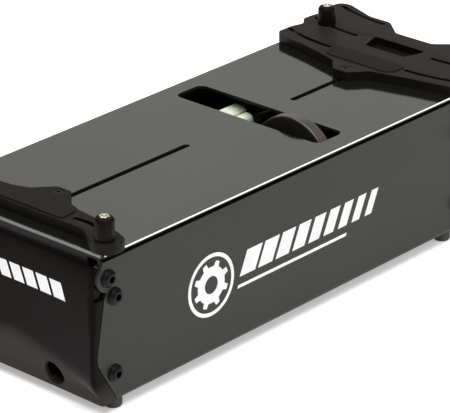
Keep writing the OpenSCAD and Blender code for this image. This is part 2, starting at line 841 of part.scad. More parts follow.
module front_clamp_screw() color([0.1, 0.1, 0.1]) {
    clamp_screw(front_clamp_d);
}

module front_clamp_nut() color([0.6, 0.6, 0.58]) {
    clamp_nut(front_clamp_d);
}

module rear_clamp_screw() color([0.1, 0.1, 0.1]) {
    clamp_screw(rear_clamp_d);
}

module rear_clamp_nut() color([0.6, 0.6, 0.58]) {
    clamp_nut(rear_clamp_d);
}

function front_post() = arc_point(front_arc, front_arc_r, front_post_angle);
function rear_post() =
    arc_point([rear_rows[1] + rear_arc_r, rear_arc_y], rear_arc_r, rear_post_angle);

module post(p, h) {
    low = bracket_top + 0.1;
    top = bracket_top + h - 1;
    difference() {
        union() {
            rod_z(p[0], p[1], low, top - 1.6, post_r);
            at(p[0], p[1], top - 1.6) cylinder(h = 1.6, r1 = post_r, r2 = post_r - 1);
        }
        rod_z(p[0], p[1], low - cut, top + cut, bolt_r + 0.1);
        at(p[0], p[1], top - 1.4) cylinder(h = 3, r = 3.3, $fn = 6);
    }
}

module post_bolt(p, h) {
    rod_z(p[0], p[1], bracket_z + 2.6, bracket_top + h - 0.4, bolt_r);
    rod_z(p[0], p[1], bracket_z + 0.9, bracket_z + 2.7, 2.5);
}

module post_nut(p, h) {
    difference() {
        at(p[0], p[1], bracket_top + h - 2.4) cylinder(h = 2.4, r = 3.17, $fn = 6);
        rod_z(p[0], p[1], bracket_top, bracket_top + h + cut, bolt_r);
    }
}

post_black = [0.13, 0.12, 0.12];
bolt_steel = [0.6, 0.6, 0.58];
brass = [0.8, 0.68, 0.4];

module front_left_post() color(post_black) {
    post(front_post(), front_post_h);
}

module front_left_bolt() color(bolt_steel) {
    post_bolt(front_post(), front_post_h);
}

module front_left_nut() color(brass) {
    post_nut(front_post(), front_post_h);
}

module front_right_post() color(post_black) {
    mirror([0, 1, 0]) post(front_post(), front_post_h);
}

module front_right_bolt() color(bolt_steel) {
    mirror([0, 1, 0]) post_bolt(front_post(), front_post_h);
}

module front_right_nut() color(brass) {
    mirror([0, 1, 0]) post_nut(front_post(), front_post_h);
}

module rear_left_post() color(post_black) {
    post(rear_post(), rear_post_h);
}

module rear_left_bolt() color(bolt_steel) {
    post_bolt(rear_post(), rear_post_h);
}

module rear_left_nut() color(brass) {
    post_nut(rear_post(), rear_post_h);
}

module rear_right_post() color(post_black) {
    mirror([0, 1, 0]) post(rear_post(), rear_post_h);
}

module rear_right_bolt() color(bolt_steel) {
    mirror([0, 1, 0]) post_bolt(rear_post(), rear_post_h);
}

module rear_right_nut() color(brass) {
    mirror([0, 1, 0]) post_nut(rear_post(), rear_post_h);
}

// ---------- turning parts ----------

module drive_shaft() color([0.75, 0.76, 0.78]) {
    rod_x(front_bulk - 9, rear_bulk + bulk_t + 9, wheel_y, wheel_z, shaft_r);
}

module shaft_collars() color([0.2, 0.2, 0.21]) {
    for (d = [front_bulk - 8.3, rear_bulk + bulk_t + 0.3]) difference() {
        rod_x(d, d + 8, wheel_y, wheel_z, 8);
        rod_x(d - cut, d + 8 + cut, wheel_y, wheel_z, shaft_r);
        rod_z(d + 4, wheel_y, wheel_z, wheel_z + 10, 2);
    }
}

module wheel_hub() color([0.2, 0.2, 0.21]) {
    d0 = wheel_d - wheel_w / 2;
    d1 = wheel_d + wheel_w / 2;
    difference() {
        union() {
            rod_x(d0, d1, wheel_y, wheel_z, hub_r);
            rod_x(front_bulk + bulk_t + 0.3, pulley_d[0] - flange_t - 0.1, wheel_y, wheel_z, 7);
        }
        for (d = [d0 - cut, wheel_d + 2]) difference() {
            rod_x(d, d + wheel_w / 2 - 2 + cut, wheel_y, wheel_z, hub_r - 3);
            rod_x(d - 1, d + wheel_w, wheel_y, wheel_z, 9.5);
        }
        for (a = [0:60:300]) translate([0, wheel_y, wheel_z]) rotate([a, 0, 0])
            rod_x(d0 - cut, d1 + cut, 0, 13.6, 2.6);
        rod_x(front_bulk, rear_bulk, wheel_y, wheel_z, shaft_r);
    }
}

module wheel_tyre() color([0.13, 0.12, 0.12]) {
    half = wheel_w / 2;
    at(wheel_d, wheel_y, wheel_z) rotate([0, 90, 0]) rotate_extrude() polygon(rounded([
        [hub_r, -half], [wheel_r, -half, 1.6], [wheel_r, half, 1.6], [hub_r, half]], 4));
}

// Toothed pulley with two side flanges
module pulley(y, z, teeth, bore, boss_r, boss_d) {
    r = teeth * tooth_pitch / (2 * PI);
    difference() {
        union() {
            rod_x(pulley_d[0], pulley_d[1], y, z, r - 0.6);
            for (d = [pulley_d[0] - flange_t, pulley_d[1]]) rod_x(d, d + flange_t, y, z, r + 1.1);
            rod_x(boss_d[0], boss_d[1], y, z, boss_r);
        }
        for (k = [0:teeth - 1]) translate([0, y, z]) rotate([(k + 0.25) * 360 / teeth, 0, 0])
            rod_x(pulley_d[0] + 0.2, pulley_d[1] - 0.2, 0, r - 0.5, 1.4);
        rod_x(pulley_d[0] - 2 * flange_t, boss_d[1] + cut, y, z, bore);
    }
}

module wheel_pulley() color([0.55, 0.56, 0.58]) {
    pulley(wheel_y, wheel_z, wheel_teeth, shaft_r, 8, [pulley_d[0] - 0.2, rear_bulk - 0.4]);
}

module motor_shaft() color([0.75, 0.76, 0.78]) {
    rod_x(pulley_d[0] - 2, rear_bulk + bulk_t + 11, motor_y, motor_z, motor_shaft_r);
}

module motor_pulley() color([0.55, 0.56, 0.58]) {
    pulley(motor_y, motor_z, motor_teeth, motor_shaft_r, 4.6, [pulley_d[0] - 0.3, pulley_d[1] + 1.2]);
}

chassis_channel();
front_end_cap();
rear_end_cap();
cap_screws();
guide_screws();
guide_nuts();
rubber_feet();
foot_screws();
front_bulkhead();
rear_bulkhead();
bulkhead_screws();
wheel_bearings();
motor_can();
motor_end_bell();
motor_terminals();
motor_screws();
drive_belt();
left_battery_pack();
right_battery_pack();
battery_straps();
pack_plugs();
harness_sockets();
red_leads();
black_leads();
switch_body();
switch_screws();
plate_springs();
top_plate();
front_hanger();
rear_hanger();
switch_pusher();
front_bracket();
front_bracket_pad();
front_clamp_screw();
front_clamp_nut();
rear_bracket();
rear_bracket_pad();
rear_clamp_screw();
rear_clamp_nut();
front_left_post();
front_left_bolt();
front_left_nut();
front_right_post();
front_right_bolt();
front_right_nut();
rear_left_post();
rear_left_bolt();
rear_left_nut();
rear_right_post();
rear_right_bolt();
rear_right_nut();
drive_shaft();
shaft_collars();
wheel_hub();
wheel_tyre();
wheel_pulley();
motor_shaft();
motor_pulley();
switch_lever();
switch_button();
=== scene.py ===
import json
import math

import bmesh
import bpy
from mathutils import Matrix, Vector


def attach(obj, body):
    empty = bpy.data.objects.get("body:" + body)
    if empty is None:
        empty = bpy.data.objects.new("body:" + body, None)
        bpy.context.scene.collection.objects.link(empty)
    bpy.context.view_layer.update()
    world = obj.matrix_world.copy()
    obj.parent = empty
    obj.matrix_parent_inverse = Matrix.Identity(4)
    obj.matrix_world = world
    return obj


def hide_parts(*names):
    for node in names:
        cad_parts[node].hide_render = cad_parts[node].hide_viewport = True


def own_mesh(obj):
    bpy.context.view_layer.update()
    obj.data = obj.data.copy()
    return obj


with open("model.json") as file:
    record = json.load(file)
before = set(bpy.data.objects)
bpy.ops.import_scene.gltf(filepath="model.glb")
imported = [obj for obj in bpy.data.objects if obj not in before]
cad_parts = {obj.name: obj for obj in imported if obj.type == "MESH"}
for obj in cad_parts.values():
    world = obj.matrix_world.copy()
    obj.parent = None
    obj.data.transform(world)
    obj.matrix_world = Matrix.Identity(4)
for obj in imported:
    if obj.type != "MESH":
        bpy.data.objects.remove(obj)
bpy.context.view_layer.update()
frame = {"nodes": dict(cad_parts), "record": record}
nodes = frame["nodes"]
SLOT = {s["node"]: s["material_slot"] for s in frame["record"]["subparts"]}

# Sizes of the box, in mm; d is measured back from the plate's front edge
MM = 0.001
FRONT = -185.35          # X of the plate's front edge
PLATE_LENGTH = 326.0
PLATE_TOP = 99.0
WALL = 70.0              # half width of the sheet metal box

# End cap: a hollow face over a crease, and a lower band that runs back to the foot
CAP_HALF = 67.8          # half width between the walls
CAP_EDGE = 69.8          # half width of the part ahead of the walls' edges
CREASE_Z = 35.0          # height of the crease at the middle
CREASE_DROP = 16.0       # how far it falls at the sides
CREASE_POWER = 1.2
CREASE_LIFT = 1.2        # the hollow face ends this far above the crease


def at(d, y, z):
    """A point in mm, d behind the plate's front edge, as a vector in metres."""
    return Vector(((FRONT + d) * MM, y * MM, z * MM))


def clamp(v):
    return min(1.0, max(0.0, v))


def add_object(name, data):
    o = bpy.data.objects.new(name, data)
    bpy.context.collection.objects.link(o)
    return o


def to_mesh(bm, name):
    mesh = bpy.data.meshes.new(name)
    bm.to_mesh(mesh)
    bm.free()
    return mesh


# ---------------------------------------------------------------- materials

LONG_GRAIN = (0.02, 1, 1)                  # grain drawn out along the box
TURNED_GRAIN = (0.05, 1, 1)                # along a shaft
TYRE_GRAIN = (0.15, 1, 1)
MIX_FACTOR, MIX_A, MIX_B = 0, 6, 7         # the mix node's sockets for colours
MIX_RESULT = 2


class Surface:
    """A node material with short ways to add grain, wear and bump."""

    def __init__(self, name):
        self.material = bpy.data.materials.new(name)
        self.material.use_nodes = True
        self.tree = self.material.node_tree
        self.shader = self.tree.nodes["Principled BSDF"]
        self.place = self.tree.nodes.new("ShaderNodeTexCoord").outputs["Object"]

    def set(self, **values):
        """Constants on the shader; an underscore stands for a space in the socket's name."""
        for name, value in values.items():
            self.shader.inputs[name.replace("_", " ")].default_value = value
        return self

    def new(self, kind, **inputs):
        node = self.tree.nodes.new(kind)
        for name, value in inputs.items():
            self.feed(node.inputs[name.replace("_", " ")], value)
        return node

    def feed(self, socket, value):
        """A link where the value is another node's output, else a constant."""
        if isinstance(value, bpy.types.NodeSocket):
            self.tree.links.new(value, socket)
        else:
            socket.default_value = value

    def source(self, name):
        """What is linked to one of the shader's inputs now."""
        return self.shader.inputs[name].links[0].from_socket

    def noise(self, scale, detail=4.0, stretch=None, rough=0.55):
        place = self.place
        if stretch:
            place = self.new("ShaderNodeMapping", Vector=place, Scale=stretch).outputs["Vector"]
        return self.new("ShaderNodeTexNoise", Vector=place, Scale=scale, Detail=detail,
                        Roughness=rough).outputs["Fac"]

    def ramp(self, factor, stops):
        """Colours or greys at their places along the factor."""
        node = self.new("ShaderNodeValToRGB", Fac=factor)
        elements = node.color_ramp.elements
        while len(elements) < len(stops):
            elements.new(0.5)
        for element, (position, c) in zip(elements, stops):
            element.position = position
            element.color = (*c, 1) if hasattr(c, "__len__") else (c, c, c, 1)
        return node.outputs["Color"]

    def mix(self, factor, a, b):
        node = self.tree.nodes.new("ShaderNodeMix")
        node.data_type = "RGBA"
        self.feed(node.inputs[MIX_FACTOR], factor)
        self.feed(node.inputs[MIX_A], a)
        self.feed(node.inputs[MIX_B], b)
        return node.outputs[MIX_RESULT]

    def span(self, value, low, high):
        """0 to 1 becomes low to high."""
        return self.new("ShaderNodeMapRange", Value=value, To_Min=low, To_Max=high).outputs[0]

    def step(self, value, low, high):
        """0 below low, 1 above high and a straight rise between them."""
        return self.new("ShaderNodeMapRange", Value=value, From_Min=low, From_Max=high).outputs[0]

    def math(self, how, a, b):
        node = self.tree.nodes.new("ShaderNodeMath")
        node.operation = how
        self.feed(node.inputs[0], a)
        self.feed(node.inputs[1], b)
        return node.outputs[0]

    def edge(self, low=0.52, high=0.62):
        """Worn edges: 1 where the surface is strongly convex."""
        return self.step(self.tree.nodes.new("ShaderNodeNewGeometry").outputs["Pointiness"], low, high)

    def color(self, socket):
        self.feed(self.shader.inputs["Base Color"], socket)
        return self

    def rough(self, socket):
        self.feed(self.shader.inputs["Roughness"], socket)
        return self

    def bump(self, height, strength=0.2, distance=0.0002):
        node = self.new("ShaderNodeBump", Height=height, Strength=strength, Distance=distance)
        self.feed(self.shader.inputs["Normal"], node.outputs["Normal"])
        return self


def tone(c, k):
    return tuple(min(1.0, x * k) for x in c)


def sheet_metal(name, c, metallic, rough, gloss):
    """Satin anodised sheet: faint long brushing, slight clouding, fine handling marks."""
    s = Surface(name)
    brush = s.noise(420, 3, LONG_GRAIN)
    cloud = s.noise(7, 3)
    marks = s.noise(60, 6, None, 0.7)
    base = s.ramp(cloud, [(0.3, tone(c, 0.95)), (0.7, tone(c, 1.06))])
    s.color(s.mix(s.span(brush, 0.0, 0.10), base, (*tone(c, 1.5), 1)))
    s.rough(s.math("ADD", s.span(brush, *rough), s.span(marks, -0.04, 0.05)))
    s.bump(s.math("MULTIPLY", brush, s.noise(1800, 2)), 0.06, 0.00005)
    return s.set(Metallic=metallic, Specular_IOR_Level=gloss)


def moulded(name, c, rough, grain, gloss=0.5, wear=1.6, bump=0.12):
    """Moulded plastic or paint: fine grain, slight clouding, rubbed edges."""
    s = Surface(name)
    fine = s.noise(grain, 3)
    cloud = s.noise(14, 4)
    base = s.ramp(cloud, [(0.3, tone(c, 0.88)), (0.7, tone(c, 1.15))])
    s.color(s.mix(s.edge(), base, (*tone(c, wear), 1)))
    s.rough(s.math("ADD", s.span(fine, rough - 0.05, rough + 0.06), s.span(cloud, -0.04, 0.04)))
    s.bump(fine, bump, 0.00006)
    return s.set(Specular_IOR_Level=gloss, Specular_Tint=(1.0, 0.9, 0.82, 1))


def bare_metal(name, c, rough, stretch=None, spots=0.9):
    """Bare metal with fine turning or brushing marks and darker spots."""
    s = Surface(name)
    grain = s.noise(900, 3, stretch)
    cloud = s.noise(90, 5)
    s.color(s.ramp(cloud, [(0.3, tone(c, spots)), (0.7, c)]))
    s.rough(s.span(grain, rough * 0.75, rough * 1.3))
    s.bump(grain, 0.08, 0.00004)
    return s.set(Metallic=1.0)


def black_steel(name, c, rubbed):
    """Blackened steel of the screws and springs, lighter where it is rubbed."""
    s = Surface(name)
    cloud = s.noise(260, 4)
    base = s.ramp(cloud, [(0.3, tone(c, 0.8)), (0.7, tone(c, 1.3))])
    s.color(s.mix(s.edge(0.53, 0.6), base, (*rubbed, 1)))
    s.rough(s.span(cloud, 0.26, 0.4))
    s.bump(s.noise(2600, 2), 0.08, 0.00003)
    return s.set(Specular_IOR_Level=0.12)


def rubber(name, c, rough, grain=1500, stretch=None, gloss=0.5):
    """Rubber or cable skin with a fine grain and some dust."""
    s = Surface(name)
    fine = s.noise(grain, 4, stretch)
    dust = s.noise(120, 5)
    s.color(s.ramp(dust, [(0.35, c), (0.75, tone(c, 1.5))]))
    s.rough(s.span(fine, rough - 0.07, rough + 0.07))
    s.bump(fine, 0.25, 0.00008)
    return s.set(Specular_IOR_Level=gloss)


def woven(name, c):
    """Webbing: two crossing sets of threads."""
    s = Surface(name)
    threads = []
    for direction in ("Y", "X"):
        wave = s.new("ShaderNodeTexWave", Vector=s.place, Scale=420.0, Distortion=0.6)
        wave.bands_direction = direction
        threads.append(wave.outputs["Fac"])
    weave = s.math("MULTIPLY", *threads)
    s.color(s.ramp(weave, [(0.1, tone(c, 0.6)), (0.8, tone(c, 1.6))]))
    s.set(Roughness=0.85, Sheen_Weight=0.2)
    return s.bump(weave, 0.5, 0.0002)


def nylon(name, c):
    """Pale nylon or print that lets a little light in."""
    s = Surface(name)
    cloud = s.noise(130, 4)
    s.color(s.ramp(cloud, [(0.3, tone(c, 0.9)), (0.7, c)]))
    s.rough(s.span(s.noise(1400, 3), 0.32, 0.46))
    s.bump(s.noise(1400, 3), 0.08, 0.00005)
    return s.set(Subsurface_Weight=0.15, Subsurface_Radius=(0.004, 0.004, 0.003),
                 Subsurface_Scale=0.4)


def cap_paint(name, c, band_painted_light):
    """The glossy black moulding; its lower band, which follows the crease, is rougher and coloured
    lighter as painted light from the bright floor.
    """
    s = moulded(name, c, 0.2, 700, 0.045, 1.5, 0.04)
    part = s.new("ShaderNodeSeparateXYZ", Vector=s.place)
    across = s.math("DIVIDE", s.math("ABSOLUTE", part.outputs["Y"], 0.0), CAP_HALF * MM)
    drop = s.math("MULTIPLY", s.math("POWER", across, CREASE_POWER), CREASE_DROP * MM)
    crease = s.math("SUBTRACT", (CREASE_Z + CREASE_LIFT) * MM, drop)
    below = s.step(s.math("SUBTRACT", crease, part.outputs["Z"]), -0.002, 0.010)
    plain, dull = s.source("Base Color"), s.source("Roughness")
    # painted light: below the crease the colour turns lighter, standing for the bright floor seen in
    # the lower band
    s.color(s.mix(below, plain, (*band_painted_light, 1)))
    return s.rough(s.math("ADD", dull, s.span(below, 0.0, 0.3)))


def rim_metal(name, c, lower):
    """The plate's long edges: bare and bright above; below that, painted shade in near black for the
    dark gap under the plate.
    """
    s = bare_metal(name, c, 0.3, LONG_GRAIN)
    z = s.new("ShaderNodeSeparateXYZ", Vector=s.place).outputs["Z"]
    upper = s.step(z, 0.0978, 0.0982)
    # painted shade: under the bright top the rim takes the near-black second colour
    return s.color(s.mix(upper, (*lower, 1), s.source("Base Color")))


RECIPES = {
    # material: its function, then the colour and the rest of the function's values
    "sheet_metal": (sheet_metal, (0.186, 0.192, 0.171), 0.97, (0.07, 0.13), 0.4),
    # the sheet metal again, darker and duller, as painted shade on the walls
    "wall_metal": (sheet_metal, (0.0245, 0.0263, 0.0215), 0.4, (0.34, 0.46), 0.25),
    # near-black painted shade for the plate's slots and the channel's edges under the plate
    "cut_edge": (moulded, (0.010, 0.010, 0.0095), 0.5, 1500, 0.2, 1.3),
    "end_edge": (bare_metal, (0.17, 0.17, 0.163), 0.4, LONG_GRAIN),
    # bright bare metal above, painted shade below
    "bare_edge": (rim_metal, (0.92, 0.92, 0.9), (0.012, 0.012, 0.011)),
    # the cap's second colour is painted light from the floor, on its lower band
    "cap_plastic": (cap_paint, (0.0030, 0.0024, 0.0021), (0.036, 0.0310, 0.0275)),
    "bracket_plastic": (moulded, (0.0118, 0.0100, 0.0090), 0.45, 1600, 0.055, 1.7),
    # a darker copy of the bracket plastic: painted shade on bracket sides, slot walls and pocket
    # floors
    "bracket_side": (moulded, (0.004, 0.0035, 0.0032), 0.5, 1600, 0.12, 1.3),
    "pad_plastic": (moulded, (0.0128, 0.0109, 0.0098), 0.5, 2400, 0.055, 1.5),
    "black_steel": (black_steel, (0.0045, 0.0045, 0.0047), (0.03, 0.03, 0.03)),
    "bright_steel": (bare_metal, (0.6, 0.6, 0.58), 0.3),
    "bearing_steel": (bare_metal, (0.75, 0.76, 0.78), 0.16),
    "rubber_black": (rubber, (0.026, 0.025, 0.024), 0.7),
    "tyre_rubber": (rubber, (0.009, 0.0075, 0.0067), 0.6, 1100, TYRE_GRAIN, 0.12),
    # the tread's lighter colour is a painted sheen of its polished running face
    "tyre_tread": (rubber, (0.062, 0.050, 0.044), 0.22, 1100, TYRE_GRAIN),
    "frame_alloy": (moulded, (0.012, 0.012, 0.0125), 0.45, 1300, 0.25, 1.6),
    "pulley_alloy": (bare_metal, (0.55, 0.56, 0.58), 0.3, TURNED_GRAIN),
    "motor_steel": (bare_metal, (0.32, 0.33, 0.35), 0.35, TURNED_GRAIN),
    "moulded_black": (moulded, (0.0035, 0.0031, 0.0028), 0.4, 1500, 0.09, 1.6),
    "shrink_blue": (moulded, (0.03, 0.10, 0.30), 0.22, 300, 0.5, 1.1),
    "strap_black": (woven, (0.03, 0.03, 0.034)),
    "nylon_white": (nylon, (0.72, 0.77, 0.62)),
    "wire_red": (rubber, (0.42, 0.018, 0.012), 0.42),
    "wire_black": (rubber, (0.018, 0.018, 0.018), 0.42),
    "brass": (bare_metal, (0.95, 0.87, 0.70), 0.2, None, 0.97),
    "button_red": (moulded, (0.5, 0.05, 0.03), 0.35, 800, 0.5, 1.1),
    "print_white": (nylon, (0.93, 0.93, 0.91)),
}
MATERIALS = {name: make(name, *values).material for name, (make, *values) in RECIPES.items()}


# ---------------------------------------------------------------- camera, light, floor

CAMERA_AZIMUTH = -48.30
CAMERA_ELEVATION = 24.14
CAMERA_SHIFT = (118.998, 8.134, 1733.0)    # right, up and back from the plate's front edge, mm
CAMERA_LENS = 247.92
CAMERA_SENSOR = 36.0

LIGHTS = (
    # name, place, aim, size in metres, power in watts
    ("key", (-0.5, -0.2, 2.2), (0, 0, 0), (2.6, 2.6), 88),
    ("side", (0.9, -2.4, 1.1), (0, 0, 0.05), (1.6, 1.0), 16),
    ("panel", (1.75, 1.56, 1.05), (0, 0, 0.1), (2.8, 1.7), 6.2),
)
ROOM_COLOUR = (0.98, 0.99, 1.0, 1)
ROOM_STRENGTH = 0.11
FLOOR_HALF = 6.0
FLOOR_GLOW = 0.38


def add_camera():
    az, el = math.radians(CAMERA_AZIMUTH), math.radians(CAMERA_ELEVATION)
    back = Vector((math.sin(az) * math.cos(el), -math.cos(az) * math.cos(el), math.sin(el)))
    right = (-back).cross(Vector((0, 0, 1))).normalized()
    up = right.cross(-back)
    shift = [axis * size for axis, size in zip((right, up, back), CAMERA_SHIFT)]
    place = at(0, 0, PLATE_TOP) + (shift[0] + shift[1] + shift[2]) * MM
    cam = add_object("camera", bpy.data.cameras.new("camera"))
    turn = Matrix((right, up, back)).transposed().to_4x4()
    cam.matrix_world = Matrix.Translation(place) @ turn
    cam.data.lens = CAMERA_LENS
    cam.data.sensor_width = CAMERA_SENSOR
    cam.data.sensor_fit = "HORIZONTAL"
    cam.data.clip_end = 50
    bpy.context.scene.camera = cam


def add_area_light(name, place, aim, size, power):
    lamp = bpy.data.lights.new(name, "AREA")
    lamp.shape = "RECTANGLE"
    lamp.size, lamp.size_y = size
    lamp.energy = power
    o = add_object(name, lamp)
    o.location = place
    o.rotation_euler = (Vector(place) - Vector(aim)).to_track_quat("Z", "Y").to_euler()


def add_lights():
    """An overhead softbox, a low fill on the right, a dim panel behind and a grey room."""
    for light in LIGHTS:
        add_area_light(*light)
    bpy.context.scene.view_settings.view_transform = "Standard"
    world = bpy.data.worlds.new("studio")
    bpy.context.scene.world = world
    world.use_nodes = True
    background = world.node_tree.nodes["Background"]
    background.inputs["Color"].default_value = ROOM_COLOUR
    background.inputs["Strength"].default_value = ROOM_STRENGTH


def add_floor():
    bm = bmesh.new()
    bmesh.ops.create_grid(bm, x_segments=8, y_segments=8, size=FLOOR_HALF)
    o = add_object("floor", to_mesh(bm, "floor"))
    s = Surface("floor_paint")
    s.color(s.ramp(s.noise(2, 2), [(0.3, 0.90), (0.7, 0.91)]))
    s.set(Roughness=0.75, Emission_Color=(1, 1, 1, 1), Emission_Strength=FLOOR_GLOW)
    o.data.materials.append(s.material)


# ---------------------------------------------------------------- mesh helpers

CAD_GAP = 2e-6           # corners closer than this, in metres, are one corner
FLAT = 0.8               # faces within this angle, in degrees, become one face
BEVEL_ANGLE = 32
ROUNDING = {
    # node: width of its rounded edges in mm
    "chassis_channel": 0.3, "front_bracket": 0.7, "rear_bracket": 0.7,
    "front_bracket_pad": 0.45, "rear_bracket_pad": 0.45, "wheel_tyre": 0.0,
    "rubber_feet": 0.5, "switch_lever": 0.1, "motor_terminals": 0.1, "drive_belt": 0.25,
    "cap_screws": 0.3, "guide_screws": 0.3,
}
USUAL_ROUNDING = 0.2


def finish_mesh(o, angle=38):
    o.data.shade_smooth()
    o.data.set_sharp_from_angle(angle=math.radians(angle))


def piece(name, mesh, material, body):
    """A named piece that rides on a body."""
    o = add_object(name, mesh)
    mesh.materials.clear()
    mesh.materials.append(MATERIALS[material])
    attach(o, body)
    return o


def body_of(node):
    bodies = frame["record"]["behaviour"]["bodies"]
    return next(body for body, members in bodies.items() if node in members)


def refine(node, segments=2, material=None):
    """A copy of a CAD node with merged faces, rounded edges and a smooth finish, in its place."""
    bevel = ROUNDING.get(node, USUAL_ROUNDING)
    bm = bmesh.new()
    bm.from_mesh(nodes[node].data)
    bmesh.ops.remove_doubles(bm, verts=bm.verts, dist=CAD_GAP)
    bmesh.ops.dissolve_limit(bm, angle_limit=math.radians(FLAT), verts=bm.verts, edges=bm.edges)
    mesh = to_mesh(bm, node + "_fine")
    o = piece(node + "_fine", mesh, material or SLOT[node], body_of(node))
    finish_mesh(o)
    if bevel:
        rounding = o.modifiers.new("round", "BEVEL")
        rounding.width = bevel * MM
        rounding.segments = segments
        rounding.limit_method = "ANGLE"
        rounding.angle_limit = math.radians(BEVEL_ANGLE)
        rounding.harden_normals = True
        rounding.use_clamp_overlap = True
        rounding.miter_outer = "MITER_ARC"
    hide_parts(node)
    return o


def paint(o, material, test):
    """Gives a second material to the faces that pass the test (centre in mm, normal)."""
    o.data.materials.append(MATERIALS[material])
    index = len(o.data.materials) - 1
    for face in o.data.polygons:
        if test(face.center / MM, face.normal):
            face.material_index = index


def loop_pairs(n):
    """Each place round a closed loop of n with the next one."""
    return [(k, (k + 1) % n) for k in range(n)]


def loft(name, columns):
    """A closed solid from closed cross-sections of equal length."""
    bm = bmesh.new()
    rings = [[bm.verts.new(p) for p in column] for column in columns]
    for a, b in zip(rings, rings[1:]):
        for k, m in loop_pairs(len(a)):
            bm.faces.new((a[k], a[m], b[m], b[k]))
    bm.faces.new(rings[0])
    bm.faces.new(rings[-1][::-1])
    bmesh.ops.recalc_face_normals(bm, faces=bm.faces)
    return to_mesh(bm, name)


def cutter(columns):
    return add_object("cutter", loft("cutter", columns))


def cylinder_cutter(d0, d1, y, z, r, steps=40):
    """A round cutter along X."""
    turns = [2 * math.pi * k / steps for k in range(steps)]
    ring = [(y + r * math.cos(a), z + r * math.sin(a)) for a in turns]
    return cutter([[at(d, a, b) for a, b in ring] for d in (d0, d1)])


def box_cutter(d0, d1, y0, y1, z0, z1):
    ring = [(y0, z0), (y1, z0), (y1, z1), (y0, z1)]
    return cutter([[at(d, a, b) for a, b in ring] for d in (d0, d1)])


def evaluated_mesh(o):
    return bpy.data.meshes.new_from_object(o.evaluated_get(bpy.context.evaluated_depsgraph_get()))


def cut_away(o, cutters):
    """Cuts the cutters out of o's mesh and removes them."""
    for tool in cutters:
        boolean = o.modifiers.new("cut", "BOOLEAN")
        boolean.operation = "DIFFERENCE"
        boolean.solver = "EXACT"
        boolean.object = tool
    bpy.context.view_layer.update()
    whole = o.data
    o.data = evaluated_mesh(o)
    o.modifiers.clear()
    bpy.data.meshes.remove(whole)
    for tool in cutters:
        bpy.data.objects.remove(tool)


# ---------------------------------------------------------------- end caps

FACE = [
    # d at the sides, d at the hollow middle, height
    (-4.0, -3.15, 91.0), (-6.2, -5.05, 84), (-7.5, -5.05, 74), (-8.2, -5.05, 64),
    (-8.7, -5.05, 52), (-9.05, -5.05, 42),
]
CREASE_D = (-9.15, -5.05)                  # at the sides and at the middle
KNEE_D = (-2.6, -1.7)
FOOT_D = (-2.1, -1.3)
KNEE_TOP = 14.0
KNEE_DROP = 8            # the knee is at least this far below the crease
FOOT_Z = 6.9
CURVE_STEPS = 8

EDGE_TOP = 74.0          # the part ahead of the walls ends here
EDGE_EASE = 3            # over this height
EDGE_ROUND = 2.2
EDGE_BACK = 1.9          # how far the face turns back over that width

SHELL = 2.5              # thickness of the cap's face
INSIDE_TOP = 77.5
INSIDE_LOW = 10.9
INSIDE_BACK = 22.6
INSIDE_HALF = 65.4
COLUMNS = 28             # cross-sections in half the width

CAP_REACH = -14          # d ahead of everything on the cap
CABLE_HOLE = (33, 16, 7.5)                 # y, z and radius
CABLE_HOLE_END = 8.5
HANGER_ROOM = ((-0.9, 13), (60.0, 67.9), (76.5, 93))  # d, |y| and z, behind the lip


def toward(p, q, t):
    return tuple(a + (b - a) * t for a, b in zip(p, q))


def cap_face(y, grow=0.0):
    """The cap's outer profile at y, from the lip down to the lower edge, as (d, z)."""
    across = min(1.0, abs(y) / CAP_HALF)
    hollow = across * across

    def d_at(side, middle):
        return side * hollow + middle * (1 - hollow)

    crease = CREASE_Z - CREASE_DROP * across ** CREASE_POWER
    top = (d_at(*CREASE_D), crease + CREASE_LIFT)
    knee = (d_at(*KNEE_D), min(KNEE_TOP, crease - KNEE_DROP))
    foot = (d_at(*FOOT_D), FOOT_Z)
    start = (top[0], top[1] + 0.45 * (FACE[-1][2] - top[1]))
    end = toward(top, knee, 0.5)
    low = toward(end, knee, 0.6)
    shin = toward(knee, foot, 0.5)

    face = [(d_at(side, middle), z) for side, middle, z in FACE]
    for k in range(CURVE_STEPS + 1):
        t = k / CURVE_STEPS
        face.append(toward(toward(start, top, t), toward(top, end, t), t))
    face += [(low[0] - 0.1, low[1]), (knee[0] - 0.05, knee[1] + 0.7),
             (knee[0] + 0.2, knee[1] - 0.7), (shin[0] + 0.05, shin[1]), foot]

    def rounded_back(z):
        edge = CAP_HALF + (CAP_EDGE - CAP_HALF) * clamp((EDGE_TOP - z) / EDGE_EASE)
        r = clamp((abs(y) - edge + EDGE_ROUND) / EDGE_ROUND)
        return EDGE_BACK * (1 - math.sqrt(1 - r * r))

    return [(d + rounded_back(z) + grow, z) for d, z in face]


def cap_outer(y):
    """The whole cross-section: the lip, the face and the floor under the box."""
    face = cap_face(y)
    path = [(-1.0, 80.0), (-1.0, 90.2), (-1.3, 91.0), (face[0][0] * 0.55 - 0.6, 91.3)]
    path += face
    path += [(face[-1][0] + 0.9, 6.4), (9.0, 6.4), (9.0, 8.4), (22.0, 8.4), (22.0, 80.0)]
    return [at(d, y, z) for d, z in path]


def cap_inner(y):
    """The hollow behind the face."""
    face = [p for p in cap_face(y, SHELL) if INSIDE_LOW < p[1] < INSIDE_TOP]
    path = [(face[0][0], INSIDE_TOP)] + face
    path += [(face[-1][0] + 0.5, INSIDE_LOW), (INSIDE_BACK, INSIDE_LOW), (INSIDE_BACK, INSIDE_TOP)]
    return [at(d, y, z) for d, z in path]


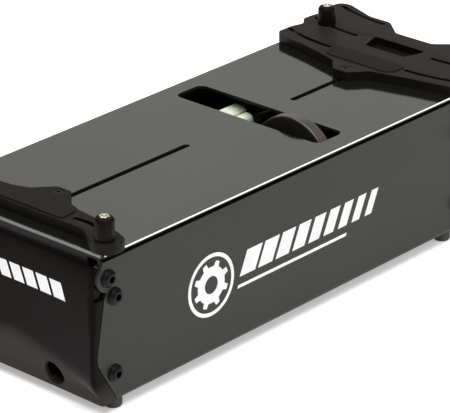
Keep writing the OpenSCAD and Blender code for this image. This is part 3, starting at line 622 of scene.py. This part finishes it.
def cap_cutters(columns):
    """The hollow, the cable holes, room for the plate's hangers and for the walls."""
    cutters = [cutter([cap_inner(y) for y in columns if abs(y) < INSIDE_HALF])]
    walls = [(0.4, 72.5), (CAP_REACH, 72.5), (CAP_REACH, 94), (24, 94), (24, 5), (10.9, 5),
             (-5.8, 34), (-5.9, 38)]
    hole_y, hole_z, hole_r = CABLE_HOLE
    room_d, room_y, room_z = HANGER_ROOM
    for s in (-1, 1):
        cutters.append(cylinder_cutter(CAP_REACH, CABLE_HOLE_END, s * hole_y, hole_z, hole_r))
        cutters.append(box_cutter(*room_d, *sorted(s * y for y in room_y), *room_z))
        cutters.append(cutter([[at(d, s * y, z) for d, z in walls] for y in (CAP_HALF, 72)]))
    return cutters


def add_end_cap(node, name, rear):
    half = [CAP_EDGE * math.sin(math.pi / 2 * k / COLUMNS) for k in range(COLUMNS + 1)]
    columns = sorted(set([-y for y in half] + half))
    mesh = loft(name, [cap_outer(y) for y in columns])
    o = piece(name, mesh, "cap_plastic", "box")
    cut_away(o, cap_cutters(columns))
    if rear:
        middle = (FRONT + PLATE_LENGTH / 2) * MM
        for v in o.data.vertices:
            v.co.x = 2 * middle - v.co.x
        o.data.flip_normals()
    finish_mesh(o, 30)
    o.data.materials.clear()
    o.data.materials.append(MATERIALS["cap_plastic"])
    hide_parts(node)


# ---------------------------------------------------------------- printed marks

PRINT_GAP = 0.01         # between the wall and the print
PRINT_DEPTH = 0.04
CAP_PRINT_GAP = 0.03
CAP_PRINT_DEPTH = 0.05

BADGE = (88.5, 50)       # centre, as (d, z)
BADGE_RING = (17.2, 19.6)
COG_BODY = (5.5, 11.5)
COG_TEETH = 8
COG_TOOTH = [(11.3, -2.2), (14.6, -1.6), (14.6, 1.6), (11.3, 2.2)]   # radius, sideways

BARS = 9
WALL_BAR = (13.5, 0.9)   # width of the first bar, and what each next one loses
WALL_GAP = (2.6, 0.35)   # width of the first gap, and what each next one gains
WALL_LEAN = 0.45         # sideways for each mm of height
WALL_BARS_START = 113.0
WALL_BARS_Z = (46.5, 61.5)
WALL_LINE = (111, 209, 39.5, 41.5)
CAP_BAR = (9.2, 0.35)
CAP_GAP = 2.2
CAP_BARS_START = 47.0
CAP_BARS_Z = (66.5, 76.5)
CAP_LEAN = 4.0
CAP_BAR_PARTS = 4        # strips in a bar, so that it follows the hollow face


def add_print(name, outlines, depth, plane):
    """A thin printed shape: outlines of (along, up) points in mm, lying on a wall."""
    bm = bmesh.new()
    for points in outlines:
        low = [bm.verts.new(plane(a, b, 0.0)) for a, b in points]
        top = [bm.verts.new(plane(a, b, depth)) for a, b in points]
        bm.faces.new(top)
        bm.faces.new(low[::-1])
        for k, m in loop_pairs(len(points)):
            bm.faces.new((low[k], low[m], top[m], top[k]))
    bmesh.ops.recalc_face_normals(bm, faces=bm.faces)
    piece(name, to_mesh(bm, name), "print_white", "box")


def slanted(x0, x1, z0, z1):
    lean = (z1 - z0) * WALL_LEAN
    return [(x0, z0), (x1, z0), (x1 + lean, z1), (x0 + lean, z1)]


def ring_outlines(centre, r0, r1, steps=72):
    """A flat ring as a run of small four-sided outlines."""
    outlines = []
    for k in range(steps):
        a, b = (2 * math.pi * j / steps for j in (k, k + 1))
        outlines.append([(centre[0] + r * math.cos(t), centre[1] + r * math.sin(t))
                         for r, t in ((r0, a), (r1, a), (r1, b), (r0, b))])
    return outlines


def cog_tooth(k):
    a = 2 * math.pi * (k + 0.5) / COG_TEETH
    out, side = (math.cos(a), math.sin(a)), (-math.sin(a), math.cos(a))
    return [(BADGE[0] + out[0] * r + side[0] * w, BADGE[1] + out[1] * r + side[1] * w)
            for r, w in COG_TOOTH]


def add_side_print(name, side):
    """A plain racing stripe and a cog badge on a long wall."""
    def plane(a, b, lift):
        return at(a, side * (WALL + PRINT_GAP + lift), b)

    shapes = ring_outlines(BADGE, *BADGE_RING) + ring_outlines(BADGE, *COG_BODY)
    shapes += [cog_tooth(k) for k in range(COG_TEETH)]
    x = WALL_BARS_START
    for k in range(BARS):
        width = WALL_BAR[0] - WALL_BAR[1] * k
        shapes.append(slanted(x, x + width, *WALL_BARS_Z))
        x += width + WALL_GAP[0] + WALL_GAP[1] * k
    shapes.append(slanted(*WALL_LINE))
    add_print(name, shapes, PRINT_DEPTH, plane)


def add_cap_print(name, rear):
    """The same short stripe on an end cap, following its hollow face."""
    def plane(a, b, lift):
        face = cap_face(a)
        upper, lower = next((p, q) for p, q in zip(face, face[1:]) if q[1] <= b <= p[1])
        d = toward(upper, lower, (upper[1] - b) / (upper[1] - lower[1]))[0]
        d -= CAP_PRINT_GAP + lift
        return at(PLATE_LENGTH - d if rear else d, a, b)

    low, high = CAP_BARS_Z
    s = 1 if rear else -1
    shapes = []
    x = CAP_BARS_START
    for k in range(BARS):
        width = CAP_BAR[0] - CAP_BAR[1] * k
        for j in range(CAP_BAR_PARTS):
            x0, x1 = (x - width * i / CAP_BAR_PARTS for i in (j, j + 1))
            shapes.append([(s * x0, low), (s * x1, low), (s * (x1 - CAP_LEAN), high),
                           (s * (x0 - CAP_LEAN), high)])
        x -= width + CAP_GAP
    add_print(name, shapes, CAP_PRINT_DEPTH, plane)


# ---------------------------------------------------------------- springs and leads

LEAD_R = 1.35
LEAD_STEPS = 8           # in each stretch between two points of a route
# Routes as (d, y, z): from each pack to its plug, then from the socket to the motor
RED = [
    [(35.8, 20, 24), (29, 20, 27), (42, 17, 46), (100, 7, 78), (144, 1.5, 92), (192, 22, 86),
     (206.8, 31.5, 84.5)],
    [(35.8, -20, 24), (29, -20, 27), (42, -18, 46), (100, -8, 72), (146, 1, 84),
     (192, 17, 83.5), (206.8, 25, 84.5)],
    [(231.4, 36, 84.5), (264, 39, 87), (284, 43, 83), (298, 43, 73), (302.5, 41, 63.5),
     (300, 39, 59.3), (296.3, 39, 59)]]
BLACK = [
    [(35.8, 32, 24), (29, 32, 27), (42, 32, 46), (100, 19, 74), (150, 20, 80), (192, 27, 83),
     (206.8, 36.5, 84.5)],
    [(35.8, -34, 24), (29, -34, 27), (42, -32, 46), (100, -18, 68), (146, -6, 78),
     (192, 12, 83), (206.8, 21, 84.5)],
    [(227.1, 22, 84.5), (264, 10, 86), (284, 7, 82), (298, 9, 72), (302.5, 11.5, 63),
     (300, 13, 59.3), (296.3, 13, 59)]]

SPRING_D = (15, PLATE_LENGTH - 15)
SPRING_Y = (-45, 45)
SPRING_SEAT = 80.0       # height of the lower ends
SPRING_LENGTH = 15.2
SPRING_WIRE_R = 0.55
SPRING_R = 3.6
SPRING_TURNS = 5.5
SPRING_STEPS = 20        # in a turn
SPRING_CLOSING = 0.035   # how much closer the end turns lie


def tube_mesh(points, r):
    """A round cord through the points, with closed ends."""
    curve = bpy.data.curves.new("cord", "CURVE")
    curve.dimensions = "3D"
    curve.bevel_depth = r * MM
    curve.bevel_resolution = 3
    curve.use_fill_caps = True
    line = curve.splines.new("POLY")
    line.points.add(len(points) - 1)
    for p, q in zip(line.points, points):
        p.co = (*q, 1)
    o = add_object("cord", curve)
    mesh = evaluated_mesh(o)
    bpy.data.objects.remove(o)
    return mesh


def smooth_route(p):
    """The same smooth route as the CAD leads."""
    out = []
    n = len(p) - 1
    for i in range(n):
        a, b, c, d = (Vector(p[k]) for k in (max(i - 1, 0), i, i + 1, min(i + 2, n)))
        for k in range(LEAD_STEPS):
            t = k / LEAD_STEPS
            out.append(0.5 * (2 * b + (c - a) * t + (2 * a - 5 * b + 4 * c - d) * t * t
                              + (3 * b - a - 3 * c + d) * t ** 3))
    out.append(Vector(p[n]))
    return [at(*q) for q in out]


def coil(d, y):
    """The middle line of one spring, its end turns closer than the rest."""
    points = []
    n = int(SPRING_TURNS * SPRING_STEPS)
    for k in range(n + 1):
        t = k / n
        rise = t - SPRING_CLOSING * math.sin(2 * math.pi * t)
        a = 2 * math.pi * SPRING_TURNS * t
        z = SPRING_SEAT + SPRING_WIRE_R + (SPRING_LENGTH - 2 * SPRING_WIRE_R) * rise
        points.append(at(d + SPRING_R * math.cos(a), y + SPRING_R * math.sin(a), z))
    return points


def add_cords(node, routes, r):
    """One piece in place of a CAD node, made of a tube along each route."""
    bm = bmesh.new()
    for points in routes:
        bm.from_mesh(tube_mesh(points, r))
    o = piece(node + "_fine", to_mesh(bm, node + "_fine"), SLOT[node], "box")
    finish_mesh(o, 50)
    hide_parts(node)
    return o


def add_leads():
    for node, routes in (("red_leads", RED), ("black_leads", BLACK)):
        add_cords(node, [smooth_route(route) for route in routes], LEAD_R)


def add_springs():
    """Four wound springs under the plate, as one piece with a mesh of its own."""
    coils = [coil(d, y) for d in SPRING_D for y in SPRING_Y]
    o = add_cords("plate_springs", coils, SPRING_WIRE_R)
    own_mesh(o)


# ---------------------------------------------------------------- build

NEAR = 0.1
CHANNEL_FLOOR = 8.6      # the channel's edges above its floor are seen, and get painted shade
BRACKET_FACE = 104.5     # faces below this, the floors of a bracket's pocket and slots, get painted shade


def on_rim(c):
    """On the plate's long edges."""
    return abs(abs(c.y) - WALL) < NEAR


def on_end(c):
    """On the plate's front or rear edge."""
    return abs(c.x - FRONT) < NEAR or abs(c.x - FRONT - PLATE_LENGTH) < NEAR


def upright(n):
    """The normal of a face that stands more than it lies."""
    return abs(n.z) < 0.5


def add_sheet_metal():
    # painted shade: the walls get a darker copy of the plate's sheet metal
    channel = refine("chassis_channel", material="wall_metal")
    # painted shade: the channel's top and end edges, under the plate, are coloured near black
    paint(channel, "cut_edge", lambda c, n: abs(n.y) < 0.7 and c.z > CHANNEL_FLOOR)
    plate = refine("top_plate")
    paint(plate, "bare_edge", lambda c, n: upright(n) and on_rim(c))
    paint(plate, "end_edge", lambda c, n: upright(n) and on_end(c))
    # painted shade: the walls of the plate's slots and holes are coloured near black
    paint(plate, "cut_edge", lambda c, n: upright(n) and not on_rim(c) and not on_end(c))


def add_brackets():
    for node in ("front_bracket", "rear_bracket"):
        bracket = refine(node, segments=3)
        # painted shade: upright faces and the floors below BRACKET_FACE are coloured darker
        paint(bracket, "bracket_side", lambda c, n: abs(n.z) < 0.6 or c.z < BRACKET_FACE)


def add_tyre():
    tyre = refine("wheel_tyre")
    # painted sheen: the running face is coloured lighter than the tyre's sides
    paint(tyre, "tyre_tread", lambda c, n: abs(n.x) < 0.55)


def add_pads():
    for node in ("front_bracket_pad", "rear_bracket_pad"):
        refine(node, segments=3)


add_camera()
add_lights()
add_floor()

add_end_cap("front_end_cap", "front_cap_shell", False)
add_end_cap("rear_end_cap", "rear_cap_shell", True)
add_side_print("side_stripe_right", -1)
add_side_print("side_stripe_left", 1)
add_cap_print("front_cap_stripe", False)
add_cap_print("rear_cap_stripe", True)
add_leads()
add_springs()
add_sheet_metal()
add_brackets()
add_tyre()
add_pads()

MADE_ABOVE = {
    "chassis_channel", "top_plate", "front_bracket", "rear_bracket", "front_bracket_pad",
    "rear_bracket_pad", "front_end_cap", "rear_end_cap", "red_leads", "black_leads",
    "plate_springs", "wheel_tyre",
}
for node in nodes:
    if node not in MADE_ABOVE:
        refine(node)
